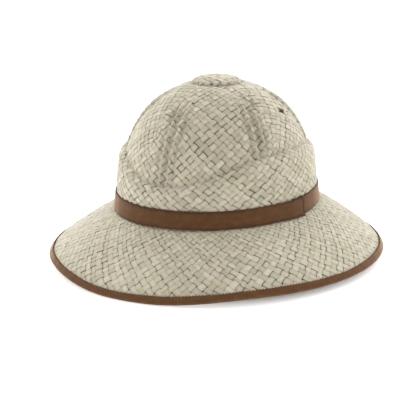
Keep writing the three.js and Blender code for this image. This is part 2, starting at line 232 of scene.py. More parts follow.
class HatForm:
    """The outer surface of the straw, as a table of places from the button to past the
    edge of the brim. A place on the flattened hat is x to the wearer's left and y to the
    back, as far from the middle as the straw between it and the button is long."""

    columns = 720
    rows = {"button": 40, "dome": 180, "shoulder": 24, "wall": 40, "hidden": 14,
            "bend": 8, "brim": 80, "past": 8}
    button_edge = 8
    lean_bend = 1.5
    # Pleats and pits are measured up in shares of the dome and across in pleat spacings
    pleat_stations = 97
    pleat_top = 0.03
    pleat_foot = 0.92
    pinch_off = 1.6
    pinch_reach = 0.6
    pinch_rise = 0.06
    crease_under = 1.3
    pleat_profile = {
        "across": (-2.4, -1.6, -1.4, -1, -0.6, 0, 0.6, 1, 1.4, 1.6, 2.4),
        "rise": (0, -0.75, -0.3, 1, -0.2, -1, -0.2, 1, -0.3, -0.75, 0),
    }
    past_edge = 24 * MM

    def __init__(self, crown, brim, weave, band_height):
        self.crown = crown
        self.brim = brim
        self.wall = weave.wall
        self.band_height = band_height
        self.dome_height = STRAW_HIGH.z - crown.foot - crown.button_rise
        self.azimuths = np.arange(self.columns) * TURN / self.columns
        self.marks = {}
        self.fill_table()

    # Plan and profile

    def length_of(self, half_width):
        crown = self.crown
        stretch = crown.half_length / crown.half_width - 1
        return half_width * (1 + stretch * half_width / crown.half_width)

    def crown_point(self, azimuth, half_width, height):
        x = half_width * np.sin(azimuth)
        y = self.crown.set_back - self.length_of(half_width) * np.cos(azimuth)
        return np.stack(np.broadcast_arrays(x, y, self.crown.foot + height), axis=-1)

    def step_height(self, azimuth):
        crown = self.crown
        away = np.abs(np.arctan2(np.sin(azimuth), np.cos(azimuth)))
        rising = wave(away / crown.step_turn)
        falling = wave((away - crown.step_fall) / (np.pi - crown.step_fall))
        drop = (crown.step_side - crown.step_back) * falling
        return mix(crown.step_front, crown.step_side, rising) - drop

    def dome_width(self, height):
        crown = self.crown
        part = np.clip(height / self.dome_height, 0, 1)
        return crown.dome_half_width * (1 - part ** crown.dome_up) ** (1 / crown.dome_out)

    def dome_height_at(self, half_width):
        part = np.clip(half_width / self.crown.dome_half_width, 0, 1)
        return self.dome_height * (1 - part ** self.crown.dome_out) ** (1 / self.crown.dome_up)

    def wall_width(self, height):
        crown = self.crown
        return crown.half_width - crown.lean * np.maximum(0, height / crown.step_side) ** self.lean_bend

    def button_points(self, part):
        radius = self.crown.button_radius * part
        rise = self.crown.button_rise * (1 - part ** self.button_edge) ** 0.5
        return self.crown_point(self.azimuths, radius, self.dome_height_at(radius) + rise)

    def dome_points(self, part):
        foot = np.arcsin(self.step_height(self.azimuths) / self.dome_height)
        top = np.arcsin(self.dome_height_at(self.crown.button_radius) / self.dome_height)
        height = self.dome_height * np.sin(mix(top, foot, part))
        return self.crown_point(self.azimuths, self.dome_width(height), height)

    def shoulder_points(self, part):
        crown = self.crown
        top = self.step_height(self.azimuths)
        height = top - crown.shoulder * (1 - np.cos(part * np.pi / 2))
        inward = 1 - np.sin(part * np.pi / 2)
        width = mix(self.wall_width(height), self.dome_width(top), inward)
        return self.crown_point(self.azimuths, width, height)

    def wall_points(self, part):
        height = (self.step_height(self.azimuths) - self.crown.shoulder) * (1 - part)
        return self.crown_point(self.azimuths, self.wall_width(height), height)

    def hidden_points(self, part):
        width = self.crown.half_width + self.crown.flare * part
        return self.crown_point(self.azimuths, width, -self.band_height * part)

    def bend_points(self, part):
        turn = part * np.pi / 2
        out = self.brim.root_radius * (1 - np.cos(turn))
        drop = self.brim.root_drop * np.sin(turn)
        width = self.crown.half_width + self.crown.flare + out
        return self.crown_point(self.azimuths, width, -self.band_height - drop)

    def brim_points(self, part):
        brim = self.brim
        azimuths = self.azimuths
        root = self.bend_points(1)
        away = np.arctan2(np.abs(np.sin(azimuths)), np.abs(np.cos(azimuths)))
        rise = brim.side_rise * wave((away - brim.rest_angle) / brim.rise_angle)
        edge = np.stack((
            brim.half_width * np.sin(azimuths),
            -brim.half_length * np.cos(azimuths),
            brim.edge_lift + rise,
        ), axis=-1)
        width = np.hypot(*(edge - root)[:, :2].T)
        roll = np.maximum(0, 1 - (1 - part) * width / brim.roll_width)
        fall = part + brim.arch * (part * part - part)
        points = mix(root, edge, part)
        height = mix(root[:, 2], edge[:, 2] + brim.roll_drop, fall)
        points[:, 2] = height - brim.roll_drop * roll ** 2
        return points

    # Table

    def pleat_relief(self, base, part_up):
        """How far the pleats stand out along each row of the dome."""
        crown = self.crown
        per_radian = np.linalg.norm(np.roll(base, -1, 1) - np.roll(base, 1, 1), axis=-1)
        per_radian *= self.columns / (2 * TURN)
        pitch = TURN / crown.pleat_pairs
        off = (self.azimuths + pitch / 2) % pitch - pitch / 2
        across = off * np.maximum(per_radian, crown.button_radius) / crown.pleat_spacing
        stations = self.pleat_profile["across"]
        fine = np.linspace(stations[0], stations[-1], self.pleat_stations)
        rough = np.interp(fine, stations, self.pleat_profile["rise"])
        blur = np.hanning(9)
        soft = np.convolve(np.pad(rough, 3), blur[1:-1] / blur.sum(), "valid")
        rise = np.interp(across, fine, soft, left=0, right=0)
        fade = 1 - smoothstep(part_up, crown.pleat_fade, self.pleat_foot)
        fade = fade * smoothstep(part_up, 0, self.pleat_top)
        side = np.where(np.round(self.azimuths / pitch) % 2 == 1, self.pinch_off, -self.pinch_off)
        from_pit_up = (part_up - crown.pinch_up) / self.pinch_rise
        from_pit_across = (across - side) / self.pinch_reach
        pinch = np.exp(-from_pit_up ** 2 - from_pit_across ** 2)
        return crown.pleat_height * rise * fade - crown.pinch * pinch

    def crease_relief(self, base, part_up):
        """How deep the creases are pressed in along the foot of the dome and round its button."""
        crown = self.crown
        dome = np.linalg.norm(np.diff(base, axis=0, append=base[-1:]), axis=-1) * (part_up > 0)
        over = part_up * dome.sum(axis=0)
        under = (1 - part_up) * dome.sum(axis=0)
        depth = np.exp(-(over / crown.crease_width) ** 2)
        depth = depth + self.crease_under * np.exp(-(under / crown.crease_width) ** 2)
        return np.where(part_up >= 0, -crown.crease * depth, 0)

    def even_rows(self, base, part_up):
        """Moves the rows of the crown so that they lie evenly from button to band all round."""
        foot = self.marks["hidden"]
        steps = np.linalg.norm(np.diff(base[:foot + 1], axis=0), axis=-1)
        ways = np.concatenate((np.zeros((1, self.columns)), np.cumsum(steps, axis=0)))
        part_up = part_up[:, None] * np.ones((1, self.columns))
        evened = base.copy()
        evened_up = part_up.copy()
        for k in range(self.columns):
            wanted = np.linspace(0, ways[-1, k], foot + 1)
            for axis in range(3):
                evened[:foot + 1, k, axis] = np.interp(wanted, ways[:, k], base[:foot + 1, k, axis])
            evened_up[:foot + 1, k] = np.interp(wanted, ways[:, k], part_up[:foot + 1, k])
        return evened, evened_up

    def fill_table(self):
        makers = {
            "button": self.button_points, "dome": self.dome_points,
            "shoulder": self.shoulder_points, "wall": self.wall_points,
            "hidden": self.hidden_points, "bend": self.bend_points,
            "brim": self.brim_points,
        }
        rows = []
        part_up = []
        for name, make in makers.items():
            self.marks[name] = len(rows)
            steps = self.rows[name]
            for k in range(steps):
                rows.append(make(k / steps))
                part_up.append(1 - k / steps if name == "dome" else -1.0)
        self.marks["edge"] = len(rows)
        edge = self.brim_points(1)
        outward = edge - self.brim_points(0.99)
        outward /= np.linalg.norm(outward, axis=-1, keepdims=True)
        for k in range(self.rows["past"] + 1):
            rows.append(edge + outward * self.past_edge * k / self.rows["past"])
            part_up.append(-1.0)
        base, part_up = self.even_rows(np.array(rows), np.array(part_up))
        across = np.roll(base, -1, 1) - np.roll(base, 1, 1)
        normals = np.cross(np.gradient(base, axis=0), across)
        normals[0] = (0, 0, 1)
        normals /= np.linalg.norm(normals, axis=-1, keepdims=True)
        relief = self.pleat_relief(base, part_up) + self.crease_relief(base, part_up)
        places = base + normals * relief[..., None]
        steps = np.linalg.norm(np.diff(base, axis=0), axis=-1).mean(axis=1)
        self.radii = np.concatenate(([0.0], np.cumsum(steps)))
        self.table = np.concatenate((places, normals, relief[..., None]), axis=-1)
        sides = np.linalg.norm(np.diff(base, axis=1, append=base[:, :1]), axis=-1)
        self.girths = sides.sum(axis=1)

    def radius_of(self, mark):
        return self.radii[self.marks[mark]]

    def radius_under_band(self, part):
        """Distance from the button of a place behind the band, a part of the way down."""
        return mix(self.radius_of("hidden"), self.radius_of("bend"), part)

    def girth_at(self, radius):
        return np.interp(radius, self.radii, self.girths)

    def at(self, flat):
        """Places, normals and the rise of the folds for places on the flattened hat."""
        radius = np.hypot(flat[..., 0], flat[..., 1])
        azimuth = np.arctan2(flat[..., 0], -flat[..., 1])
        row = np.interp(radius, self.radii, np.arange(len(self.radii)))
        column = (azimuth / TURN % 1) * self.columns
        low = np.minimum(row.astype(int), len(self.radii) - 2)
        left = column.astype(int) % self.columns
        right = (left + 1) % self.columns
        down = (row - low)[..., None]
        side = (column - column.astype(int))[..., None]
        upper = mix(self.table[low, left], self.table[low, right], side)
        lower = mix(self.table[low + 1, left], self.table[low + 1, right], side)
        both = mix(upper, lower, down)
        return both[..., :3], both[..., 3:6], both[..., 6]

    def brim_at(self, azimuth, inward):
        """A place on the brim, a way in from its edge."""
        radius = self.radius_of("edge") - inward
        flat = np.broadcast_arrays(radius * np.sin(azimuth), -radius * np.cos(azimuth))
        return self.at(np.stack(flat, axis=-1))


# Net of the weave

class StrawMat:
    """The crossings of a plain weave in rings round the button, and its cells. A cell is
    inner, left, outer and right crossing."""

    smoothing = 0.2
    stiffness = 0.6
    narrowest = 1.7
    widest = 2
    least_area = 1e-6

    def __init__(self, form, weave):
        self.form = form
        self.weave = weave
        self.places = []
        self.ring_radius = []
        self.cells = []
        self.levels = []
        self.grow(*self.first_rings())
        self.flat = np.array(self.places)
        self.cells = np.array(self.cells)
        self.levels = np.array(self.levels)
        self.ring_radius = np.array(self.ring_radius)
        self.number_strips()
        self.settle(self.draw_widths())

    def add_ring(self, size, corners, radius):
        """Spreads a ring evenly between its corners, each a place in the ring and its azimuth."""
        ordered = sorted(corners)
        slots = [slot + size * lap for lap in (-1, 0, 1) for slot, _ in ordered]
        angles = [azimuth + TURN * lap for lap in (-1, 0, 1) for _, azimuth in ordered]
        first = len(self.places)
        for k in range(size):
            azimuth = np.interp(k, slots, angles)
            self.places.append((radius * math.sin(azimuth), -radius * math.cos(azimuth)))
            self.ring_radius.append(radius)
        return list(range(first, first + size))

    @staticmethod
    def next_corner(slot, azimuth, fed, size):
        """Where a corner lies in the next ring, half a place on unless a strip comes in there."""
        slot += sum(1 for j in fed if j < slot) - (0 if slot in fed else 0.5)
        return (slot + size, azimuth + TURN) if slot < 0 else (slot, azimuth)

    def grow(self, ring, shared, corners, radius):
        """Adds ring after ring. "shared" holds the crossing inside each pair of a ring."""
        level = 0
        while radius < self.outer_limit():
            fed = set()
            if self.takes_strips(radius, len(ring)):
                fed = {int(slot) for slot, _ in corners if slot == int(slot)}
            size = len(ring) + len(fed)
            side = float(self.side_at(radius))
            half_width = self.form.girth_at(radius) / (2 * size)
            radius += math.sqrt(max(side ** 2 - half_width ** 2, (self.least_step * side) ** 2))
            corners = [self.next_corner(slot, azimuth, fed, size) for slot, azimuth in corners]
            new = self.add_ring(size, corners, radius)
            new_shared = []
            taken = 0
            for j, crossing in enumerate(ring):
                if j in fed:
                    taken += 1
                    new_shared.append(crossing)
                outer = new[taken]
                taken += 1
                self.cells.append((shared[j], crossing, outer, ring[(j + 1) % len(ring)]))
                self.levels.append(level)
                new_shared.append(ring[(j + 1) % len(ring)])
            ring, shared = new, new_shared
            level += 1

    def number_strips(self):
        """Gives each cell the numbers of its two strips, and each side of a cell that of the
        strip that it spans."""
        parent = {}

        def root(key):
            while parent.setdefault(key, key) != key:
                parent[key] = parent[parent[key]]
                key = parent[key]
            return key

        keys = []
        for cell in self.cells.tolist():
            edges = [tuple(sorted((cell[k], cell[(k + 1) % 4]))) for k in range(4)]
            parent[root(edges[0])] = root(edges[2])
            parent[root(edges[1])] = root(edges[3])
            keys.append(edges)
        numbers = {}
        spans = {}
        strips = []
        for edges in keys:
            pair = [numbers.setdefault(root(edges[k]), len(numbers)) for k in (0, 1)]
            strips.append(pair)
            spans.update(zip(edges, pair + pair))
        self.strips = np.array(strips)
        self.strip_count = len(numbers)
        self.sides = np.array(list(spans))
        self.side_strips = np.array(list(spans.values()))

    def draw_widths(self):
        """Widths of the strips against an even weave."""
        draw = np.random.default_rng(self.weave.seed + 3)
        variety = self.weave.strip_variety
        widths = draw.normal(1, variety, self.strip_count)
        return np.clip(widths, 1 - self.narrowest * variety, 1 + self.widest * variety)

    def settle(self, widths):
        """Evens out the sides of the cells, each drawn towards the width of its strip."""
        form = self.form
        flat = self.flat
        near, far = self.sides.T
        wanted = self.side_at((self.ring_radius[near] + self.ring_radius[far]) / 2)
        wanted = wanted * widths[self.side_strips]
        counts = np.maximum(np.bincount(self.sides.ravel(), minlength=len(flat)), 1)[:, None]
        hold = self.hold()
        probe = 0.2 * MM
        for _ in range(self.weave.settling):
            place = form.at(flat)[0]
            along = place[far] - place[near]
            size = np.maximum(np.linalg.norm(along, axis=1), probe)
            pull = along * (1 - wanted / size)[:, None]
            move = np.zeros_like(place)
            mean = np.zeros_like(place)
            for axis in range(3):
                move[:, axis] = (
                    np.bincount(near, pull[:, axis], len(flat))
                    - np.bincount(far, pull[:, axis], len(flat))
                )
                mean[:, axis] = (
                    np.bincount(near, place[far, axis], len(flat))
                    + np.bincount(far, place[near, axis], len(flat))
                )
            move = self.stiffness * move / counts + self.smoothing * (mean / counts - place)
            slope_x = (form.at(flat + (probe, 0))[0] - place) / probe
            slope_y = (form.at(flat + (0, probe))[0] - place) / probe
            a = (slope_x ** 2).sum(axis=1)
            b = (slope_x * slope_y).sum(axis=1)
            c = (slope_y ** 2).sum(axis=1)
            d = (slope_x * move).sum(axis=1)
            e = (slope_y * move).sum(axis=1)
            spread = np.maximum(a * c - b * b, self.least_area)
            step = np.stack(((c * d - b * e) / spread, (a * e - b * d) / spread), axis=1)
            step = np.clip(step, -MM, MM)
            radius = np.maximum(np.hypot(*flat.T), probe)
            step += flat / radius[:, None] * (hold * (self.ring_radius - radius))[:, None]
            step[self.ring_radius == 0] = 0
            flat = flat + step
        self.flat = flat


class CrownMat(StrawMat):
    """The mat of the crown, begun at the button. New strips come in along its four corners
    until the crown has as many as its wall, which has as many all the way down."""

    least_step = 0.42
    # Painted shade: the crown's straw is set darker on the whole than the brim's, though both are one
    # straw
    mean_tone_and_shade = 0.3
    tuck_depth = 0.0
    tuck_radius = 0.0

    def first_rings(self):
        self.places.append((0.0, 0.0))
        self.ring_radius.append(0.0)
        corners = [(float(k), self.weave.corner + k * TURN / 4) for k in range(4)]
        radius = self.weave.dome_side * math.sqrt(0.5)
        return self.add_ring(4, corners, radius), [0, 0, 0, 0], corners, radius

    def outer_limit(self):
        return self.form.radius_of("brim")

    def side_at(self, radius):
        foot = self.form.radius_of("hidden")
        sides = (self.weave.dome_side, self.weave.wall_side)
        return np.interp(radius, (0.4 * foot, 0.8 * foot), sides)

    def takes_strips(self, radius, size):
        room = self.form.girth_at(radius) / (math.sqrt(2) * float(self.side_at(radius))) - size
        return room >= 2 and size < self.weave.crown_cells

    def hold(self):
        """How firmly the rings keep their distance from the button."""
        foot = self.form.radius_of("hidden")
        level = smoothstep(self.ring_radius, 0.7 * foot, foot)
        hidden = smoothstep(self.ring_radius, foot, self.form.radius_of("bend"))
        return 0.02 + 0.1 * level + 0.3 * hidden


class BrimMat(StrawMat):
    """The mat of the brim, begun under the band and as many strips wide at its edge."""

    least_step = 0.6
    # Paler on the whole than the crown, whose straw carries painted shade
    mean_tone_and_shade = 0.58
    tuck_depth = 0.7 * MM
    overrun = 12 * MM
    held = 8 * MM

    def first_rings(self):
        size = self.weave.brim_cells
        radius = self.form.radius_under_band(0.5)
        self.tuck_radius = self.form.radius_under_band(MEETING)
        corners = [(0.0, 0.0)]
        inner = self.add_ring(size, corners, radius)
        corners = [self.next_corner(0.0, 0.0, (), size)]
        radius += self.form.girth_at(radius) / (2 * size)
        return self.add_ring(size, corners, radius), inner[1:] + inner[:1], corners, radius

    def outer_limit(self):
        return self.form.radii[-1] - self.overrun

    def side_at(self, radius):
        return self.form.girth_at(radius) / (math.sqrt(2) * self.weave.brim_cells)

    def takes_strips(self, radius, size):
        return False

    def hold(self):
        root = self.form.radius_of("brim")
        edge = self.form.radius_of("edge")
        past_root = smoothstep(self.ring_radius, root, root + self.held)
        past_edge = smoothstep(self.ring_radius, edge, edge + self.held)
        return 0.05 + 0.3 * (1 - past_root) + 0.3 * past_edge


# Meshes

def grid_quads(rows, columns, close_rows=False, close_columns=False):
    """Faces of a grid of points that is stored row by row."""
    row = np.arange(rows if close_rows else rows - 1)[:, None]
    column = np.arange(columns if close_columns else columns - 1)[None, :]
    down = (row + 1) % rows
    side = (column + 1) % columns
    corners = np.broadcast_arrays(
        row * columns + column, row * columns + side,
        down * columns + side, down * columns + column,
    )
    return np.stack(corners, axis=-1).reshape(-1, 4)


def make_piece(name, points, faces, material, attributes):
    """A smooth mesh object with its attributes on its points."""
    mesh = bpy.data.meshes.new(name)
    mesh.from_pydata(points.reshape(-1, 3).tolist(), [], faces)
    mesh.polygons.foreach_set("use_smooth", [True] * len(mesh.polygons))
    for key, values in attributes.items():
        kind = "FLOAT_VECTOR" if values.shape[-1:] == (3,) and values.ndim > 1 else "FLOAT"
        layer = mesh.attributes.new(key, kind, "POINT")
        layer.data.foreach_set("vector" if kind == "FLOAT_VECTOR" else "value", values.ravel())
    mesh.materials.append(material)
    mesh.update()
    piece = bpy.data.objects.new(name, mesh)
    bpy.context.scene.collection.objects.link(piece)
    return piece


class StripShape:
    """Stations of a strip where it lies over a cell. "along" runs with the strip, in cell
    sides, and "across" from one edge of the strip to the other. "rise" and "fall" are
    heights in shares of the relief. The dark columns say how deep in a gap a station lies,
    and so how much painted shade it gets there."""

    def __init__(self, along, rise, along_dark, across, fall, across_dark):
        self.along = np.array(along)
        self.rise = np.array(rise)
        self.across = np.array(across)
        self.fall = np.array(fall)
        self.along_dark = np.array(along_dark)
        self.across_dark = np.array(across_dark)

    @property
    def size(self):
        return len(self.along) * len(self.across)


crown_strip = StripShape(
    along=(-0.2, -0.11, -0.02, 0.33, 0.67, 1.02, 1.11, 1.2),
    rise=(-1.6, 0.1, 0.9, 1.0, 1.0, 0.9, 0.1, -1.6),
    along_dark=(1, 1, 0.08, 0, 0, 0.08, 1, 1),
    across=(0, 0.03, 0.35, 0.65, 0.97, 1),
    fall=(-1.4, 0, 0.05, 0.05, 0, -1.4),
    across_dark=(1, 0.2, 0, 0, 0.2, 1),
)
brim_strip = StripShape(
    along=(-0.2, -0.11, -0.02, 0.5, 1.02, 1.11, 1.2),
    rise=(-1.6, 0.1, 0.9, 1.0, 0.9, 0.1, -1.6),
    along_dark=(1, 1, 0.08, 0, 0.08, 1, 1),
    across=(0, 0.03, 0.5, 0.97, 1),
    fall=(-1.4, 0, 0.05, 0, -1.4),
    across_dark=(1, 0.2, 0, 0.2, 1),
)
crown_lining = StripShape(
    along=(-0.12, 0.5, 1.12),
    rise=(-1.2, 1.1, -1.2),
    along_dark=(1, 0.1, 1),
    across=(0, 0.04, 0.96, 1),
    fall=(-1.2, 0, 0, -1.2),
    across_dark=(1, 0.2, 0.2, 1),
)
brim_lining = StripShape(
    along=(-0.12, 0.06, 0.94, 1.12),
    rise=(-1.2, 0.95, 0.95, -1.2),
    along_dark=(1, 0.1, 0.1, 1),
    across=(0, 0.04, 0.96, 1),
    fall=(-1.2, 0, 0, -1.2),
    across_dark=(1, 0.2, 0.2, 1),
)


# Slack of the strips inside against those outside
INSIDE_SLACK = 0.4
# Height in the relief that lies on the outer surface of the form
STRIP_LEVEL = 0.6
# Stretch along the brim's edge into which the strips that run past it are squeezed
EDGE_SQUEEZE = 2.5 * MM
TUCK_WIDTH = 3 * MM
# How far apart the fibres of two strips are taken from the noise
NUMBER_STEP = 0.031


def by_cell(values):
    """A value for each cell, shaped to act on all its stations."""
    return values[:, None, None]


def lay_strips(form, mat, chosen, shape, inside):
    """Points, faces and attributes of the strips over the chosen cells, on one side."""
    weave = mat.weave
    flat = mat.flat[mat.cells[chosen]]
    turned = (mat.levels[chosen] % 2 == 1) ^ inside
    strip = np.where(turned, mat.strips[chosen, 0], mat.strips[chosen, 1])
    along = shape.along[None, :, None]
    slack = mat.strip_slack[strip] * (INSIDE_SLACK if inside else 1)
    across = mix(slack[:, :1], 1 - slack[:, 1:], shape.across)[:, None, :]
    along, across = np.broadcast_arrays(along, across)
    every = np.ones_like(along)
    swap = by_cell(turned)
    a = np.where(swap, across, along)
    b = np.where(swap, 1 - along, across)
    weights = np.stack(((1 - a) * (1 - b), a * (1 - b), a * b, (1 - a) * b), axis=-1)
    spot = np.einsum("cuvk,ckx->cuvx", weights, flat)
    radius = np.linalg.norm(spot, axis=-1, keepdims=True)
    last = form.radius_of("edge")
    soft = last - EDGE_SQUEEZE
    kept = soft + (last - soft) * (1 - np.exp(-np.maximum(radius - soft, 0) / (last - soft)))
    spot = np.where(radius > soft, spot / np.maximum(radius, MM) * kept, spot)
    place, normal, fold = form.at(spot)
    rise = shape.rise[None, :, None] + shape.fall[None, None, :]
    rise = rise + by_cell(mat.cell_tilt[chosen]) * (across - 0.5) + by_cell(mat.cell_lift[chosen])
    past_tuck = smoothstep(radius[..., 0], mat.tuck_radius, mat.tuck_radius + TUCK_WIDTH)
    tuck = mat.tuck_depth * (1 - past_tuck)
    if inside:
        height = -(weave.wall - weave.relief) - weave.relief * rise + tuck
    else:
        height = weave.relief * (rise - STRIP_LEVEL) - tuck
    points = place + normal * height[..., None]
    faces = grid_quads(len(shape.along), len(shape.across))
    if not inside:
        faces = faces[:, ::-1]
    faces = (np.arange(len(flat))[:, None, None] * shape.size + faces).reshape(-1, 4)
    side = by_cell(mat.side_at(mat.ring_radius[mat.cells[chosen, 0]]))
    along_way = side * (along + by_cell(mat.cell_run[chosen]))
    number_way = NUMBER_STEP * by_cell(strip) * every
    tone = mat.strip_tone[strip] + mat.cell_tone[chosen]
    hue = mat.strip_hue[strip] + mat.cell_tone[chosen]
    # Painted shade in the gaps beside the strip and where the cell's ends dive under
    gaps = mat.strip_gap[strip]
    side_gap = np.where(shape.across[None, :] < 0.5, gaps[:, :1], gaps[:, 1:])
    end_dark = shape.along_dark[None, :, None] * by_cell(mat.cell_gap[chosen]) * every
    side_dark = (shape.across_dark * side_gap)[:, None, :] * every
    return points, faces, {
        "strip_place": np.stack((along_way, side * across, number_way), axis=-1).reshape(-1, 3),
        "strip_gap": np.maximum(end_dark, side_dark).ravel(),
        "strip_tone": (by_cell(tone) * every).ravel(),
        "strip_hue": (by_cell(hue) * every).ravel(),
        # Depth of the folds, which sets the painted shade deep in them
        "fold_depth": (-fold / MM).ravel(),
    }


# Slack of the tight and the loose side of a strip, and the share of strips turned round
TIGHT = (0.01, 0.05)
LOOSE = (0.06, 0.145)
FLIPPED = 0.35
# Painted shade in the gaps beside a strip, and at its ends
NARROW_GAP_SHADE = 0.65
GAP_SHADE_PER_SLACK = 3.5
CELL_GAP_SHADES = (0.35, 1.1)
# How far along the noise the fibres of a cell may begin, in cell sides
LONGEST_RUN = 40


def roughen(mat, draw):
    """Draws the unevenness of the mat's strips, each tight on one side and loose on the
    other, and of its cells."""
    weave = mat.weave
    cells = len(mat.cells)
    stray = draw.normal(0, weave.unevenness, mat.flat.shape)
    stray[mat.ring_radius == 0] = 0
    mat.flat = mat.flat + np.clip(stray, -2 * weave.unevenness, 2 * weave.unevenness)
    tight = draw.uniform(*TIGHT, mat.strip_count)
    loose = draw.uniform(*LOOSE, mat.strip_count)
    flip = draw.random(mat.strip_count) < FLIPPED
    slack = (np.where(flip, loose, tight), np.where(flip, tight, loose))
    mat.strip_slack = np.stack(slack, axis=1)
    # Painted shade in the gaps, deeper beside the looser side of a strip
    mat.strip_gap = NARROW_GAP_SHADE + GAP_SHADE_PER_SLACK * mat.strip_slack
    mat.strip_tone = draw.normal(mat.mean_tone_and_shade, 0.14, mat.strip_count)
    mat.strip_hue = draw.normal(0, 0.28, mat.strip_count)
    mat.cell_tone = draw.normal(0, 0.13, cells)
    mat.cell_tilt = draw.normal(0, 0.25, cells)
    mat.cell_lift = draw.normal(0, 0.12, cells)
    mat.cell_gap = draw.uniform(*CELL_GAP_SHADES, cells)
    mat.cell_run = draw.uniform(0, LONGEST_RUN, cells)


def faded(way, reach):
    """Falls from 1 to 0 with the way from a place."""
    return np.exp(-(way / reach) ** 2)


def open_gap(form, mat, crown):
    """Draws the nearest cell over to the small gap in the crown, pushes the strips aside
    round it and pinches it narrower. Gives the open cell."""
    width = form.dome_width(crown.vent_height)
    vent = form.crown_point(crown.vent_azimuth, width, crown.vent_height)
    middles = mat.flat[mat.cells].mean(axis=1)
    crosswise = mat.levels % 2 == 1
    nearest = np.argmin(np.linalg.norm(form.at(middles)[0] - vent, axis=1) + crosswise * 20 * MM)
    near = np.linspace(-6, 6, 61) * MM
    spots = middles[nearest] + np.stack(np.meshgrid(near, near), axis=-1).reshape(-1, 2)
    aim = spots[np.argmin(np.linalg.norm(form.at(spots)[0] - vent, axis=1))]
    way = np.linalg.norm(mat.flat - middles[nearest], axis=1, keepdims=True)
    mat.flat = mat.flat + (aim - middles[nearest]) * faded(way, 14 * MM)
    away = mat.flat - aim
    way = np.maximum(np.linalg.norm(away, axis=1, keepdims=True), 0.1 * MM)
    outward = aim / np.linalg.norm(aim)
    sideways = np.array((-outward[1], outward[0]))
    push = crown.vent_spread * faded(way - 3 * MM, 5 * MM)
    pinch = crown.vent_pinch * faded(way, 6 * MM)
    mat.flat = mat.flat + away / way * push - (away @ sideways)[:, None] * sideways * pinch
    return nearest


def woven_piece(name, form, mat, chosen, shapes, material):
    """One piece of the straw, with the strips that show outside and inside."""
    outer, inner = shapes
    parts = [
        lay_strips(form, mat, chosen, outer, False),
        lay_strips(form, mat, chosen, inner, True),
    ]
    points = [part[0].reshape(-1, 3) for part in parts]
    faces = np.concatenate((parts[0][1], parts[1][1] + len(points[0])))
    attributes = {
        key: np.concatenate([part[2][key] for part in parts])
        for key in parts[0][2]
    }
    piece = make_piece(name, np.concatenate(points), faces.tolist(), material, attributes)
    piece.data.set_sharp_from_angle(angle=math.radians(24))
    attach(piece, BODY)
    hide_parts("straw_body")


# Materials

class Value:
    """A number socket that stands in expressions. Each operator adds one Math node."""

    def __init__(self, shader, socket):
        self.shader = shader
        self.socket = socket

    def math(self, operation, *values):
        node = self.shader.node("ShaderNodeMath", {"operation": operation}, dict(enumerate(values)))
        return Value(self.shader, node.outputs[0])

    def __add__(self, other):
        return self.math("ADD", self, other)

    __radd__ = __add__

    def __sub__(self, other):
        return self.math("SUBTRACT", self, other)

    def __rsub__(self, other):
        return self.math("SUBTRACT", other, self)

    def __mul__(self, other):
        return self.math("MULTIPLY", self, other)

    __rmul__ = __mul__

    def clipped(self):
        return self.math("MINIMUM", self.math("MAXIMUM", self, 0.0), 1.0)


class Shader:
    """The node tree of a material or a world, with one method that makes every node."""

    def __init__(self, owner):
        self.owner = owner
        owner.use_nodes = True
        self.tree = owner.node_tree
        self.tree.nodes.clear()

    def node(self, kind, settings=None, inputs=None):
        """A node of a type, with its settings and the values or links of its sockets."""
        node = self.tree.nodes.new(kind)
        for key, value in (settings or {}).items():
            setattr(node, key, value)
        for key, value in (inputs or {}).items():
            socket = node.inputs[key]
            source = value.socket if isinstance(value, Value) else value
            if isinstance(source, bpy.types.NodeSocket):
                self.tree.links.new(source, socket)
            else:
                socket.default_value = source
        return node

    def attribute(self, name):
        node = self.node("ShaderNodeAttribute", {"attribute_name": name})
        return Value(self, node.outputs["Fac"])

    def attribute_vector(self, name):
        return self.node("ShaderNodeAttribute", {"attribute_name": name}).outputs["Vector"]

    def scaled(self, vector, scale):
        settings = {"operation": "MULTIPLY"}
        return self.node("ShaderNodeVectorMath", settings, {0: vector, 1: scale}).outputs[0]

    def noise(self, vector, scale, detail=2.0):
        inputs = {"Vector": vector, "Scale": scale, "Detail": detail}
        node = self.node("ShaderNodeTexNoise", {"noise_dimensions": "3D"}, inputs)
        return Value(self, node.outputs["Fac"])

    def blend(self, first, second, factor):
        """Mix of two colours."""
        inputs = {0: factor, 6: opaque(first), 7: opaque(second)}
        return self.node("ShaderNodeMix", {"data_type": "RGBA"}, inputs).outputs[2]

    def finish(self, inputs, bump_height, bump_distance, bump_strength):
        bump = self.node("ShaderNodeBump", {}, {
            "Height": bump_height, "Distance": bump_distance, "Strength": bump_strength,
        })
        inputs = {**inputs, "Normal": bump.outputs["Normal"]}
        shade = self.node("ShaderNodeBsdfPrincipled", {}, inputs)
        self.node("ShaderNodeOutputMaterial", {}, {"Surface": shade.outputs["BSDF"]})
        return self.owner


def opaque(rgb):
    """A colour property as a colour with alpha, or a socket as it is."""
    if isinstance(rgb, (bpy.types.NodeSocket, Value)):
        return rgb
    return (*rgb, 1.0)


